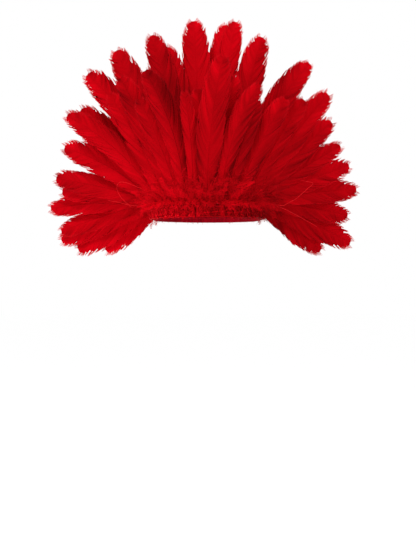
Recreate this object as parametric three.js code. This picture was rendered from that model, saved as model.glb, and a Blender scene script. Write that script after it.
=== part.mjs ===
// Feathered headdress: a ring that sits round the head, with a quill tape strung round its outside.
// Each feather stands in the pocket between ring and tape and leans out into one wide fan that is
// upright in the middle and hangs below the ring at both sides.
// Millimetres. +X is to the right of someone who stands behind the wearer, +Y is the way the wearer
// faces and +Z is up. The origin is the middle of the head opening at the lower edge of the ring.
import * as THREE from "three";

// The ring and its tape
const HEAD_WIDTH = 150;
const HEAD_LENGTH = 194;
const BAND_HEIGHT = 20;
const BAND_THICKNESS = 2;
const TAPE_HEIGHT = 17;
const TAPE_THICKNESS = 1.5;
const TAPE_PUFF = 1.2;
const TAPE_SLIT = 1.2;
const TAPE_SLIT_TURN = -11.25;

// The feathers
const QUILL_DIAMETER = 2.4;
const QUILL_CLEARANCE = 0.6;
const FEATHER_LENGTH = 320;
const FEATHER_WIDTH = 46;
const DOWN_HEIGHT = 58;
const DOWN_DEPTH = 3;
const SHAFT_THICKNESS = 2.4;
const VANE_THICKNESS = 1;
const VANE_CAMBER = 0.1;
const QUILL_RISE = 2.5;
const QUILL_BEND = 10;

// Angles in degrees: how the faces of the fan turn from back to front
const SIDE_SWEEP = 25;
const BACK_LEAN = 14;
const FRONT_LEAN = 18;
const OUTWARD_CURL = 6;
const OUTWARD_BOW = 0.06;

const BAND_SEGMENTS = 96;
const TAPE_SEGMENTS = 192;

// One row per feather. turn: place round the ring in degrees from the middle of the back.
// fan: degrees from upright, to the right when positive. length and width: shares of
// FEATHER_LENGTH and FEATHER_WIDTH. lean: degrees this feather leans forward of the fan's own lean.
// curl: degrees its tip bends outwards on top of OUTWARD_CURL.
const FEATHERS = [
  { turn: -172.5, fan: -5.5, length: 1, width: 0.98, lean: 0, curl: -4 },
  { turn: -165, fan: -12.5, length: 0.86, width: 0.9, lean: 0, curl: 0 },
  { turn: -157.5, fan: -14, length: 0.92, width: 0.86, lean: 0, curl: 0 },
  { turn: -150, fan: -25, length: 0.89, width: 0.96, lean: 0, curl: 0 },
  { turn: -142.5, fan: -33, length: 0.7, width: 0.8, lean: 0, curl: 0 },
  { turn: -135, fan: -51.5, length: 0.57, width: 0.8, lean: 0, curl: 0 },
  { turn: -127.5, fan: -125, length: 0.35, width: 0.8, lean: 0, curl: 0 },
  { turn: -120, fan: -115, length: 0.46, width: 0.96, lean: 0, curl: 0 },
  { turn: -112.5, fan: -107, length: 0.515, width: 0.86, lean: 0, curl: 0 },
  { turn: -105, fan: -102.5, length: 0.5, width: 0.72, lean: 0, curl: 0 },
  { turn: -97.5, fan: -90, length: 0.54, width: 0.72, lean: 0, curl: 0 },
  { turn: -90, fan: -81, length: 0.48, width: 0.66, lean: 0, curl: 0 },
  { turn: -82.5, fan: -75, length: 0.52, width: 0.78, lean: 0, curl: 0 },
  { turn: -75, fan: -59, length: 0.53, width: 0.86, lean: 0, curl: 8 },
  { turn: -67.5, fan: -40, length: 0.57, width: 0.86, lean: 0, curl: 8 },
  { turn: -60, fan: -47, length: 0.6, width: 0.78, lean: 0, curl: 10 },
  { turn: -52.5, fan: -30, length: 0.675, width: 0.98, lean: 0, curl: 14 },
  { turn: -45, fan: -27, length: 0.55, width: 0.8, lean: 0, curl: 0 },
  { turn: -37.5, fan: -21, length: 0.6, width: 0.84, lean: 0, curl: 0 },
  { turn: -30, fan: -19, length: 0.49, width: 0.8, lean: 0, curl: 0 },
  { turn: -22.5, fan: -15, length: 0.605, width: 0.78, lean: 0, curl: 8 },
  { turn: -15, fan: -2.5, length: 0.49, width: 0.46, lean: 0, curl: 0 },
  { turn: -7.5, fan: -1, length: 0.5, width: 0.7, lean: 14, curl: 0 },
  { turn: 0, fan: 6, length: 0.65, width: 0.88, lean: 0, curl: 0 },
  { turn: 7.5, fan: 9, length: 0.56, width: 0.7, lean: 11, curl: 0 },
  { turn: 15, fan: 16, length: 0.545, width: 0.66, lean: 0, curl: 10 },
  { turn: 22.5, fan: 14, length: 0.47, width: 0.7, lean: 0, curl: 0 },
  { turn: 30, fan: 24, length: 0.51, width: 0.8, lean: 0, curl: 0 },
  { turn: 37.5, fan: 24.5, length: 0.685, width: 0.86, lean: 0, curl: 12 },
  { turn: 45, fan: 28, length: 0.53, width: 0.8, lean: 0, curl: 0 },
  { turn: 52.5, fan: 35, length: 0.61, width: 0.92, lean: 0, curl: 0 },
  { turn: 60, fan: 44, length: 0.525, width: 0.84, lean: 0, curl: 0 },
  { turn: 67.5, fan: 56, length: 0.49, width: 0.68, lean: 0, curl: 0 },
  { turn: 75, fan: 67.5, length: 0.49, width: 0.82, lean: 0, curl: 0 },
  { turn: 82.5, fan: 80.5, length: 0.5, width: 0.78, lean: 0, curl: 0 },
  { turn: 90, fan: 80.5, length: 0.445, width: 0.7, lean: 0, curl: 0 },
  { turn: 97.5, fan: 94.5, length: 0.455, width: 0.8, lean: 0, curl: 0 },
  { turn: 105, fan: 109, length: 0.5, width: 0.94, lean: 0, curl: 0 },
  { turn: 112.5, fan: 121.5, length: 0.38, width: 0.86, lean: 0, curl: 0 },
  { turn: 120, fan: 107.5, length: 0.37, width: 0.8, lean: 0, curl: 0 },
  { turn: 127.5, fan: 115, length: 0.36, width: 0.8, lean: 0, curl: 0 },
  { turn: 135, fan: 60, length: 0.49, width: 0.8, lean: 0, curl: 0 },
  { turn: 142.5, fan: 43, length: 0.61, width: 0.8, lean: 0, curl: 0 },
  { turn: 150, fan: 31, length: 0.66, width: 0.8, lean: 0, curl: 0 },
  { turn: 157.5, fan: 14, length: 0.91, width: 0.94, lean: 0, curl: 0 },
  { turn: 165, fan: 13, length: 0.7, width: 0.7, lean: 0, curl: 0 },
  { turn: 172.5, fan: 10, length: 1.03, width: 0.8, lean: 2, curl: 0 },
  { turn: 180, fan: 10, length: 1.06, width: 0.8, lean: 5, curl: 0 },
];

// Width along a feather. root: share of the full width at a distance from the tape in down heights.
// tip: share of the full width at a distance from the tip in feather widths.
const ROOT_WIDTH = [
  { at: 0, share: 0 },
  { at: 0.05, share: 0 },
  { at: 0.16, share: 0.16 },
  { at: 0.34, share: 0.24 },
  { at: 0.6, share: 0.44 },
  { at: 1, share: 0.74 },
  { at: 1.6, share: 0.94 },
  { at: 2.4, share: 1 },
];
const TIP_WIDTH = [
  { at: 0, share: 0.2 },
  { at: 0.13, share: 0.46 },
  { at: 0.33, share: 0.68 },
  { at: 0.67, share: 0.85 },
  { at: 1.33, share: 1 },
];

// Depth of the down round the shaft as a share of DOWN_DEPTH, at the same distances as the root
const ROOT_DEPTH = [
  { at: 0.05, share: 0 },
  { at: 0.16, share: 0.7 },
  { at: 0.34, share: 1 },
  { at: 0.6, share: 0.7 },
  { at: 1, share: 0.2 },
  { at: 1.6, share: 0 },
];

const degrees = Math.PI / 180;
const headA = HEAD_WIDTH / 2;
const headB = HEAD_LENGTH / 2;
const quillOut = BAND_THICKNESS + QUILL_CLEARANCE + QUILL_DIAMETER / 2;
const pocketOut = BAND_THICKNESS + QUILL_DIAMETER + 2 * QUILL_CLEARANCE;
const tapeLow = (BAND_HEIGHT - TAPE_HEIGHT) / 2;
const tapeTop = tapeLow + TAPE_HEIGHT;

// A point of the ring at a turn from the back, this far outside the head opening
function ringPoint(turn, outside, z) {
  const a = turn * degrees;
  return new THREE.Vector3((headA + outside) * Math.sin(a), -(headB + outside) * Math.cos(a), z);
}

function look(table, at) {
  let last = table[0];
  for (const row of table) {
    if (at < row.at) {
      return last.share + ((row.share - last.share) * (at - last.at)) / (row.at - last.at);
    }
    last = row;
  }
  return last.share;
}

// Closed mesh through a row of sections with the same number of points; loops back when ring is true
function loft(sections, ring) {
  const points = [];
  const faces = [];
  const n = sections[0].length;
  for (const section of sections) {
    for (const p of section) {
      points.push(p);
    }
  }
  const count = sections.length;
  const steps = ring ? count : count - 1;
  for (let i = 0; i < steps; i++) {
    const low = i * n;
    const high = ((i + 1) % count) * n;
    for (let k = 0; k < n; k++) {
      const next = (k + 1) % n;
      faces.push([low + k, low + next, high + next], [low + k, high + next, high + k]);
    }
  }
  if (!ring) {
    const last = (count - 1) * n;
    for (let k = 1; k < n - 1; k++) {
      faces.push([0, k + 1, k], [last, last + k, last + k + 1]);
    }
  }
  let volume = 0;
  for (const [a, b, c] of faces) {
    volume += points[a].dot(new THREE.Vector3().crossVectors(points[b], points[c]));
  }
  const geometry = new THREE.BufferGeometry();
  geometry.setFromPoints(points);
  geometry.setIndex(faces.flatMap(([a, b, c]) => (volume > 0 ? [a, b, c] : [a, c, b])));
  return geometry;
}

// The ring: a smooth upright band
function headband() {
  const sections = [];
  for (let i = 0; i < BAND_SEGMENTS; i++) {
    const turn = (360 * i) / BAND_SEGMENTS;
    sections.push([
      ringPoint(turn, 0, 0),
      ringPoint(turn, BAND_THICKNESS, 0),
      ringPoint(turn, BAND_THICKNESS, BAND_HEIGHT),
      ringPoint(turn, 0, BAND_HEIGHT),
    ]);
  }
  return loft(sections, true);
}

// The tape: an open band whose outside puffs over every quill, with a slit where its ends meet
function quillTape() {
  const sections = [];
  const halfSlit = TAPE_SLIT / 2 / headA / degrees;
  const start = TAPE_SLIT_TURN + halfSlit;
  const length = 360 - 2 * halfSlit;
  for (let i = 0; i <= TAPE_SEGMENTS; i++) {
    const turn = start + (length * i) / TAPE_SEGMENTS;
    const wave = 0.5 + 0.5 * Math.cos(turn * degrees * FEATHERS.length);
    const outer = pocketOut + TAPE_THICKNESS + TAPE_PUFF * wave;
    sections.push([
      ringPoint(turn, pocketOut, tapeLow),
      ringPoint(turn, outer, tapeLow + TAPE_THICKNESS / 2),
      ringPoint(turn, outer, tapeTop - TAPE_THICKNESS / 2),
      ringPoint(turn, pocketOut, tapeTop),
    ]);
  }
  return loft(sections, false);
}

// Directions of one feather: face points at someone behind the wearer, right and up lie in the blade
function fanFrame({ turn, lean }) {
  const a = turn * degrees;
  const reach = Math.abs(turn) <= 90 ? Math.abs(Math.sin(a)) : Math.max(Math.abs(Math.sin(a)), 0.4);
  const sweep = Math.sign(turn) * SIDE_SWEEP * reach * degrees;
  const back = (BACK_LEAN + FRONT_LEAN) * Math.abs(turn / 180) - BACK_LEAN + lean;
  const tilt = back * degrees;
  const right = new THREE.Vector3(Math.cos(sweep), Math.sin(sweep), 0);
  const up = new THREE.Vector3(
    -Math.sin(sweep) * Math.sin(tilt),
    Math.cos(sweep) * Math.sin(tilt),
    Math.cos(tilt),
  );
  const face = new THREE.Vector3().crossVectors(right, up);
  return { right, up, face };
}

function blade(row) {
  const { right, up, face } = fanFrame(row);
  const reach = FEATHER_LENGTH * row.length;
  const width = FEATHER_WIDTH * row.width;
  const start = ringPoint(row.turn, quillOut, tapeTop + QUILL_RISE);
  const toward = (fan) =>
    new THREE.Vector3()
      .addScaledVector(right, Math.sin(fan * degrees))
      .addScaledVector(up, Math.cos(fan * degrees));
  const tip = start.clone().addScaledVector(toward(row.fan), reach);
  const end = toward(row.fan + Math.sign(row.fan) * (OUTWARD_CURL + row.curl));
  const curve = new THREE.CubicBezierCurve3(
    start,
    start.clone().add(new THREE.Vector3(0, 0, QUILL_BEND)),
    tip.clone().addScaledVector(end, -reach * 0.55),
    tip,
  );
  curve.arcLengthDivisions = 400;
  const total = curve.getLength();
  const bow = OUTWARD_BOW * Math.cos(row.turn * degrees);
  const body = total - 1.33 * width;
  const stations = [0.05, 0.16, 0.34, 0.6, 1].map((share) => share * DOWN_HEIGHT);
  for (let k = 1; k <= 3; k++) {
    stations.push(DOWN_HEIGHT + ((body - DOWN_HEIGHT) * k) / 3);
  }
  for (const back of [0.67, 0.33, 0.13, 0]) {
    stations.push(total - back * width);
  }
  const upright = new THREE.Vector3(0, 0, 1);
  const sections = [section(ringPoint(row.turn, quillOut, tapeLow), upright, face, 0, SHAFT_THICKNESS)];
  sections.push(section(start, upright, face, 0, SHAFT_THICKNESS));
  for (const along of stations) {
    const u = Math.min(along / total, 1);
    const p = curve.getPointAt(u).addScaledVector(face, (bow * along * along) / FEATHER_LENGTH);
    const share = Math.min(look(ROOT_WIDTH, along / DOWN_HEIGHT), look(TIP_WIDTH, (total - along) / width));
    const depth = SHAFT_THICKNESS * (1 - 0.45 * u) + DOWN_DEPTH * look(ROOT_DEPTH, along / DOWN_HEIGHT);
    sections.push(section(p, curve.getTangentAt(u), face, width * share, depth));
  }
  return loft(sections, false);
}

// Six points across the feather: two edges and a raised shaft. A width of 0 gives the bare quill.
function section(middle, tangent, face, width, depth) {
  const out = face.clone().addScaledVector(tangent, -face.dot(tangent)).normalize();
  const side = new THREE.Vector3().crossVectors(out, tangent).normalize();
  const half = Math.max(width / 2, QUILL_DIAMETER * 0.5);
  const round = Math.min(1, (half - QUILL_DIAMETER * 0.5) / QUILL_DIAMETER);
  const shaft = depth / 2;
  const edge = THREE.MathUtils.lerp(QUILL_DIAMETER * 0.29, VANE_THICKNESS / 2, round);
  const drop = VANE_CAMBER * half * round;
  const at = (x, y) => middle.clone().addScaledVector(side, x).addScaledVector(out, y);
  return [
    at(-half, edge - drop),
    at(-half, -edge - drop),
    at(0, -shaft),
    at(half, -edge - drop),
    at(half, edge - drop),
    at(0, shaft),
  ];
}

const group = new THREE.Group();
const colours = { band: 0x8c0a18, tape: 0xa80c1c, feather: 0xc4001c };

function add(name, geometry, colour, roughness) {
  const material = new THREE.MeshStandardMaterial({ color: colour, roughness, metalness: 0 });
  const mesh = new THREE.Mesh(geometry, material);
  mesh.name = name;
  group.add(mesh);
}

add("headband", headband(), colours.band, 0.9);
add("quill_tape", quillTape(), colours.tape, 0.9);
FEATHERS.forEach((row, i) => {
  add(`feather_${String(i + 1).padStart(2, "0")}`, blade(row), colours.feather, 0.8);
});

export default group;
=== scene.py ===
"""Feathered headdress: a full ring of dyed feathers strung on a quill tape round a head ring.

Every CAD feather is dressed as a feather of single barbs on a shaft with down at its root.
The CAD source's table and curve are repeated here, so that the two stay on the same lines.
"""

import math

import bpy
import numpy as np
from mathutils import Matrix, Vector


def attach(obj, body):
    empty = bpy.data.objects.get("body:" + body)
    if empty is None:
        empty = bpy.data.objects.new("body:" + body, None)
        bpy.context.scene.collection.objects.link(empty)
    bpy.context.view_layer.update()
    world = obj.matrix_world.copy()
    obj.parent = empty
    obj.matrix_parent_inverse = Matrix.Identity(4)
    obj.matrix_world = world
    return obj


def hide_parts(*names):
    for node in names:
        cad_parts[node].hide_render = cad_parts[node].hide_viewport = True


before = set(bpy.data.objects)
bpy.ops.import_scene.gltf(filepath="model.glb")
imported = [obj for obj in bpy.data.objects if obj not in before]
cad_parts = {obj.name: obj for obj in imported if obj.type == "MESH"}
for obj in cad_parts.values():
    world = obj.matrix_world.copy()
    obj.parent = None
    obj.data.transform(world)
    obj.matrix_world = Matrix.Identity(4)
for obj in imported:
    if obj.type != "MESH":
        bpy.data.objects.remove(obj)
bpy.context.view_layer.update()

MM = 0.001
AMBIENT = 0.42
FLOOR_GLOW = 0.605
SEED = 4763

# Radians, rounded
FULL_CIRCLE = 6.283

# The ring and the tape, as in the CAD source, in millimetres
HEAD_WIDTH = 150
HEAD_LENGTH = 194
BAND_HEIGHT = 20
BAND_THICKNESS = 2
TAPE_HEIGHT = 17
TAPE_THICKNESS = 1.5
TAPE_PUFF = 1.2
TAPE_SLIT = 1.2
TAPE_SLIT_TURN = -11.25
QUILL_STEP = 7.5

# The feathers, as in the CAD source
QUILL_DIAMETER = 2.4
QUILL_CLEARANCE = 0.6
FEATHER_LENGTH = 320
FEATHER_WIDTH = 46
QUILL_RISE = 2.5
QUILL_BEND = 10
SIDE_SWEEP = 25
LEAST_SWEEP = 0.4
BACK_LEAN = 14
FRONT_LEAN = 18
OUTWARD_CURL = 6
OUTWARD_BOW = 0.06
TIP_HANDLE = 0.55
CURVE_POINTS = 401

HEAD_A = HEAD_WIDTH / 2
HEAD_B = HEAD_LENGTH / 2
QUILL_OUT = BAND_THICKNESS + QUILL_CLEARANCE + QUILL_DIAMETER / 2
POCKET_OUT = BAND_THICKNESS + QUILL_DIAMETER + 2 * QUILL_CLEARANCE
TAPE_LOW = (BAND_HEIGHT - TAPE_HEIGHT) / 2
TAPE_TOP = TAPE_LOW + TAPE_HEIGHT
HALF_STEP = QUILL_STEP / 2

# turn, fan, length, width, lean, curl: the CAD source's columns.
# left, right: how far the two halves of the vane fold back, in degrees. tone: lighter or darker, partly dye
# and partly painted shade over the whole feather.
# lit: painted light, how much lighter the left half is than the right. fade: painted shade, how much darker
# the lower part is.
COLUMNS = ("turn", "fan", "length", "width", "lean", "curl", "left", "right", "tone", "lit", "low_shade")
ROWS = (
    (-172.5, -5.5, 1, 0.98, 0, -4, 8, 10, 0.05, -0.2, 0.4),
    (-165, -12.5, 0.86, 0.9, 0, 0, 8, 10, 0.05, 0, 0.8),
    (-157.5, -14, 0.92, 0.86, 0, 0, 6, 14, 0, 0.4, 0.9),
    (-150, -25, 0.89, 0.96, 0, 0, 6, 10, 0, 0.4, 0.4),
    (-142.5, -33, 0.7, 0.8, 0, 0, 8, 8, -0.15, 0, 0.5),
    (-135, -51.5, 0.57, 0.8, 0, 0, 8, 8, 0.05, 0.2, 0.5),
    (-127.5, -125, 0.35, 0.8, 0, 0, 8, 8, 0.4, -0.4, 0.4),
    (-120, -115, 0.46, 0.96, 0, 0, 6, 10, 0.15, -0.6, -0.3),
    (-112.5, -107, 0.515, 0.86, 0, 0, 10, 4, 0.1, 0.4, -0.4),
    (-105, -102.5, 0.5, 0.72, 0, 0, 8, 8, -0.05, -1, -0.6),
    (-97.5, -90, 0.54, 0.72, 0, 0, 10, 4, 0, 0, -0.4),
    (-90, -81, 0.48, 0.66, 0, 0, 8, 8, 0.3, -0.8, 0.4),
    (-82.5, -75, 0.52, 0.78, 0, 0, 12, 4, -0.05, -0.4, -0.1),
    (-75, -59, 0.53, 0.86, 0, 8, 6, 10, 0, -0.6, -0.5),
    (-67.5, -40, 0.57, 0.86, 0, 8, 6, 14, -0.05, 0.4, -0.1),
    (-60, -47, 0.6, 0.78, 0, 10, 8, 10, -0.1, 0.6, -0.4),
    (-52.5, -30, 0.675, 0.98, 0, 14, 4, 14, -0.1, 1, -0.6),
    (-45, -27, 0.55, 0.8, 0, 0, 8, 8, -0.05, 0, -0.1),
    (-37.5, -21, 0.6, 0.84, 0, 0, 8, 12, -0.25, -0.4, -0.6),
    (-30, -19, 0.49, 0.8, 0, 0, 8, 10, -0.15, 0.2, -0.2),
    (-22.5, -15, 0.605, 0.78, 0, 8, 10, 24, -0.32, 1, -0.42),
    (-15, -2.5, 0.49, 0.46, 0, 0, 4, 14, -0.2, 0.2, -0.5),
    (-7.5, -1, 0.5, 0.7, 14, 0, 8, 8, -0.1, 0.2, 0.3),
    (0, 6, 0.65, 0.88, 0, 0, 6, 12, -0.05, 0.2, 0.2),
    (7.5, 9, 0.56, 0.7, 11, 0, 8, 12, -0.05, -1, 0.3),
    (15, 16, 0.545, 0.66, 0, 10, 2, 14, -0.05, 0.6, 0.2),
    (22.5, 14, 0.47, 0.7, 0, 0, 6, 8, -0.25, -0.8, 0.1),
    (30, 24, 0.51, 0.8, 0, 0, 14, 4, -0.1, 0.4, 0.1),
    (37.5, 24.5, 0.685, 0.86, 0, 12, 10, 8, -0.05, 0, 0.2),
    (45, 28, 0.53, 0.8, 0, 0, 8, 8, -0.05, 0.6, 0),
    (52.5, 35, 0.61, 0.92, 0, 0, 4, 12, 0.05, 0, 0.3),
    (60, 44, 0.525, 0.84, 0, 0, 6, 12, 0, 0.4, 0.2),
    (67.5, 56, 0.49, 0.68, 0, 0, 8, 10, -0.05, 0.4, 0.1),
    (75, 67.5, 0.49, 0.82, 0, 0, 4, 12, 0.05, 0.6, 0.2),
    (82.5, 80.5, 0.5, 0.78, 0, 0, 6, 10, 0, 0.2, 0.2),
    (90, 80.5, 0.445, 0.7, 0, 0, 8, 8, -0.1, 0, 0.3),
    (97.5, 94.5, 0.455, 0.8, 0, 0, 4, 12, 0.05, 1, 0.2),
    (105, 109, 0.5, 0.94, 0, 0, 6, 10, -0.05, 1, 0.1),
    (112.5, 121.5, 0.38, 0.86, 0, 0, 4, 12, -0.05, 0.6, 0.2),
    (120, 107.5, 0.37, 0.8, 0, 0, 8, 8, 0.05, 1, 0.4),
    (127.5, 115, 0.36, 0.8, 0, 0, 8, 8, -0.1, 0.1, 0.2),
    (135, 60, 0.49, 0.8, 0, 0, 8, 8, -0.1, 0.1, 0.4),
    (142.5, 43, 0.61, 0.8, 0, 0, 8, 8, -0.1, 0.1, 0.5),
    (150, 31, 0.66, 0.8, 0, 0, 8, 8, -0.1, 0.1, 0.6),
    (157.5, 14, 0.91, 0.94, 0, 0, 4, 14, 0.1, 0.4, 0.8),
    (165, 13, 0.7, 0.7, 0, 0, 8, 8, -0.2, 0.1, 0.8),
    (172.5, 10, 1.03, 0.8, 2, 0, 10, 6, 0.2, -0.4, 0.6),
    (180, 10, 1.06, 0.8, 5, 0, 6, 10, 0.15, 1.2, 0.5),
)
FEATHERS = [dict(zip(COLUMNS, row)) for row in ROWS]

# Half width of the vane as shares of half the feather's width: by millimetres above the tape,
# and by feather widths below the tip
ROOT_AT = (0, 8, 18, 34, 58, 90, 140)
ROOT_SHARE = (0.22, 0.3, 0.42, 0.62, 0.84, 0.96, 1.0)
TIP_AT = (0, 0.05, 0.13, 0.33, 0.67, 1.33)
TIP_SHARE = (0.1, 0.3, 0.47, 0.69, 0.86, 1.0)

# Barbs: millimetres from one to the next, where each has its points, and how far it runs forward,
# which is less near the tip and near the root
BARB_STEP = 1.15
BARB_AT = (0, 0.12, 0.3, 0.5, 0.7, 0.84, 0.91, 0.96, 1)
BARB_FORWARD = 3.2
TIP_FORWARD = 0.6
ROOT_FORWARD = 7
FORWARD_GROWTH = 0.6
BARB_LENGTH = 0.95
STRAIGHT = 0.15
BARB_CURVE = 1.8
VANE_START = -1
VANE_END = 0.4

# Where the vane counts as tip, as the very tip, and as downy root
TIP_ZONE = 0.9
END_ZONE = 0.4
DOWNY_ZONE = 50

# Slow random changes along the vane: size, then barbs from one change to the next
FORWARD_WANDER = (0.05, 9)
REACH_WANDER = (0.035, 12)
RIPPLE_BROAD = (0.24, 7)
RIPPLE_FINE = (0.07, 2.4)
STREAK_FINE = (0.075, 2.5)
STREAK_BROAD = (0.09, 8)
RIPPLE_GRAIN = 0.03
STREAK_GRAIN = 0.02

# The shape of the sheet out of its plane
WAVE_LENGTH = (70, 120)
WAVE_PHASE = (0, 6.28)
WAVE_SIZE = (0.4, 1.2)
VANE_HOLLOW = 0.05
VANE_RISE = 0.3
FLAT_WIDTH = 0.6

# Clumps of barbs that end in one point, more ragged on feathers turned further than BACK_TURN
BACK_TURN = 50
BACK_FRAY = 0.6
OTHER_FRAY = 1.15
CLUMP = (3, 8)
GATHER = (0.2, 0.6)
CLUMP_SPREAD = 0.028
TIP_SPREAD = 0.9
BARB_SPREAD = 0.012
CLUMP_LIFT = 0.2
DOWNY_LIFT = 3
DOWNY_SCATTER = 1.5
FREE_FROM = (0.84, 0.97)
DOWNY_FREE = 0.14
TIP_FREE = 0.03

# Splits where the sheet has come apart
SPLITS = (1, 4)
SPLIT_AT = (0.3, 0.97)
SPLIT_SIZE = (0.3, 1.0)
SPLIT_BELOW = -0.7
SPLIT_FADE = (5, 14)
SPLIT_DEPTH = (0.7, 0.9)

# Tone of the vane, from 0 dark to 1 light, with painted light on its left half, painted shade on its lower
# part, and its pale edge of painted light through the thin barbs
VANE_TONE = 0.5
LIT_TONE = 0.11
LOW_SHADE_TONE = 0.75
LOW_SHADE_FROM = 1.05
LOW_SHADE_MOST = 0.6
TIP_TONE = 0.04
EDGE_FROM = 0.8
EDGE_WIDTH = 0.2
SIDE_EDGE = 0.2
TIP_EDGE = 0.8

# Frayed hairs at the ends of the barbs, and loose barbs above the sheet
HAIRS = 7
HAIR_WIDTH = 0.3
HAIR_FROM = (0.8, 0.995)
HAIR_LENGTH = (1.5, 5)
HAIR_TAPER = 0.7
HAIR_SCATTER = 0.07
HAIR_EDGE = (0.7, 0.7, 1, 1)
LOOSE_BARBS = 5
LOOSE_RISE = (0.2, 1.2)
LOOSE_GAP = 0.5
LOOSE_SLIDE = 2.5
LOOSE_HALF = 0.3
LOOSE_TONE = 0.14
LOOSE_EDGE = 0.4

# The shaft and the quill
TUBE_SIDES = 6
SHAFT_POINTS = 44
SHAFT_END = 0.96
SHAFT_RISE = 0.15
SHAFT_RADIUS = 0.8
SHAFT_TAPER = 0.62
QUILL_RADIUS = 0.9
SHAFT_TONE = 0.46
SHAFT_LOW_SHADE = 0.45

# Side hairs of every curly thread
BARBULE_AT = (0.12, 0.97)
BARBULE_FORWARD = 0.8
BARBULE_SCATTER = 0.45
BARBULE_HALF = 0.17

# Tone of all fluff, the share of its feather's tone that it takes, and painted light and shade that make it
# lighter or darker at each turn
FLUFF_MIDDLE = 0.62
FLUFF_ROW_TONE = 0.5
FLUFF_SPREAD = 0.14
FLUFF_SHADE_TURN = (-140, -100, -56, -21, 9, 30, 45, 60, 90, 140)
FLUFF_SHADE_TONE = (0, 0.05, 0.3, 0.3, -0.05, 0.15, -0.05, -0.2, -0.4, 0)

# Down at the root: more of it, and lower, on feathers turned further than SIDE_TURN
DOWN_BARBS = 72
SIDE_TURN = 60
SIDE_DOWN = 16
DOWN_POWER = 2
SIDE_DOWN_POWER = 2.8
DOWN_POINTS = 7
DOWN_REACH = 42
DOWN_LENGTH = (8, 18)
DOWN_RISE = (0.2, 1.2)
DOWN_CURL = 0.35
DOWN_WIDTH = 0.5
DOWN_BARBULES = 9
DOWN_BARBULE = (1.4, 3.0)
DOWN_EDGE = 0.6

# Short down just above the tape, between the quills
NEST_BARBS = 22
NEST_START = 2
NEST_HEIGHT = 22
NEST_REACH = (6, 10)
NEST_RISE = (0, 0.6)
NEST_CURL = 0.25
NEST_POINTS = 5
NEST_WIDTH = 0.9
NEST_BARBULES = 4
NEST_TONE = 0.52
NEST_EDGE = 0.4

# Small plumes at the root: standing ones, and a skirt that falls over the tape. The standing ones
# droop at the sides, from DROOP_LEFT or DROOP_RIGHT degrees on, and are more at the front.
AFTERFEATHERS = 6
SKIRT = 4
FRONT_TURN = 120
FRONT_FLUFF = 3
DROOP_LEFT = 50
DROOP_RIGHT = 42
DROOP_BLEND = 14
DROOP_END = (115, 140)
DROOP_MORE = 4
DROOP_FALL = (0, 1.5)
STANDING_ROOT = (-2, 22)
STANDING_LENGTH = (10, 27)
STANDING_OUTWARD = (0.1, 0.5)
SKIRT_ROOT = (0, 4)
SKIRT_LENGTH = (7, 14)
SKIRT_FALL = (0.6, 1.15)
PLUME_POINTS = 9
PLUME_RISE = 1.2
PLUME_BARBS = 1.6
PLUME_BARB = (2.6, 5.6)
PLUME_BARB_POINTS = 5
PLUME_BARB_HALF = 0.3

# The tape's cloth: columns of points for each quill, rows up it, and its tone at each turn, with painted
# shade on its right side
TAPE_COLUMNS = 12
TAPE_ROWS = 17
PUFF_TABLE = 60
TAPE_TONE = 0.45
TAPE_INSIDE_TONE = 0.3
TAPE_DARKER = -0.22
TAPE_RIGHT_SHADE = 0.25

# Tufts under the tape: picture columns where one shows, and the ring's middle and half width there
TUFT_PIXELS = (169, 176, 185, 195, 230, 238, 248)
TUFT_MIDDLE_PIXEL = 206.8
TUFT_HALF_PIXELS = 54
HIDDEN_TUFTS = 34
HIDDEN_TUFT_TURNS = (40, 320)

# Lint on the tape
LINT = 1400
LINT_LENGTH = (2.5, 6.5)
LINT_WIDTH = 0.4
LINT_BARBULES = 3
LINT_BARBULE = (0.6, 1.5)
LINT_TONE = 0.75
LINT_EDGE = 0.6

# The ring's ribbon
RIBBON_COLUMNS = 288
RIBBON_ROWS = 15
STITCH_LEVELS = (0.12, 0.88)
STITCH_STEP = 3
STITCH_LENGTH = 1.9
STITCH_RADIUS = 0.22

# Materials: noise sizes and how strongly they change the tone
DYE_SPECULAR = 0.018
SHEEN_TINT = (1.0, 0.02, 0.05, 1)
CLOUD_SCALE = 26
CLOUD_TONE = 0.28
GRAIN_SCALE = 900
GRAIN_TONE = 0.24
WEAVE_SCALE = 420
WEAVE_BUMP = 0.35
GRAIN_BUMP = 0.2
BUMP_DEPTH = 0.0004
# Painted light: thin edges are mixed towards this pale colour, as if lit through
THIN_EDGE_LIGHT_COLOUR = (0.92, 0.05, 0.06, 1)
THIN_EDGE_LIGHT = 0.12
EDGE_THROUGH = 0.1

# Sockets of a colour Mix node
MIX_FIRST = 6
MIX_SECOND = 7
MIX_RESULT = 2

# Studio, in metres
FLOOR_HEIGHT = -0.75
FLOOR_SIZE = 30
WHITE = (1, 1, 1, 1)

# Camera: sensor and distance in millimetres, its place in metres
SENSOR = 36
CAMERA_DISTANCE = 2600
PICTURE_HEIGHT = 555
MM_PER_PIXEL = 1.45
CAMERA_PLACE = (0.0015, -2.6, -0.0824)

# Painted shade in the folds between the lower vanes: how strong it is at each turn, how far up it reaches,
# and the share of the barb where it turns from lighter to darker
FOLD_SHADE_TURN = (-14, -7.5, 30, 45)
FOLD_SHADE_TONE = (0, 0.5, 0.45, 0)
FOLD_SHADE_HEIGHT = 110
FOLD_SHADE_FROM = 1.2
FOLD_SHADE_MIDDLE = 0.24

# Long loose barbs: feather number, then the points they pass through, and how they are drawn
FILAMENT_STEPS = 6
FILAMENT_PASSES = 6
FILAMENT_SIDES = 5
FILAMENT_RADIUS = (0.5, 0.3)
FILAMENT_TONE = 1.1
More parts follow.
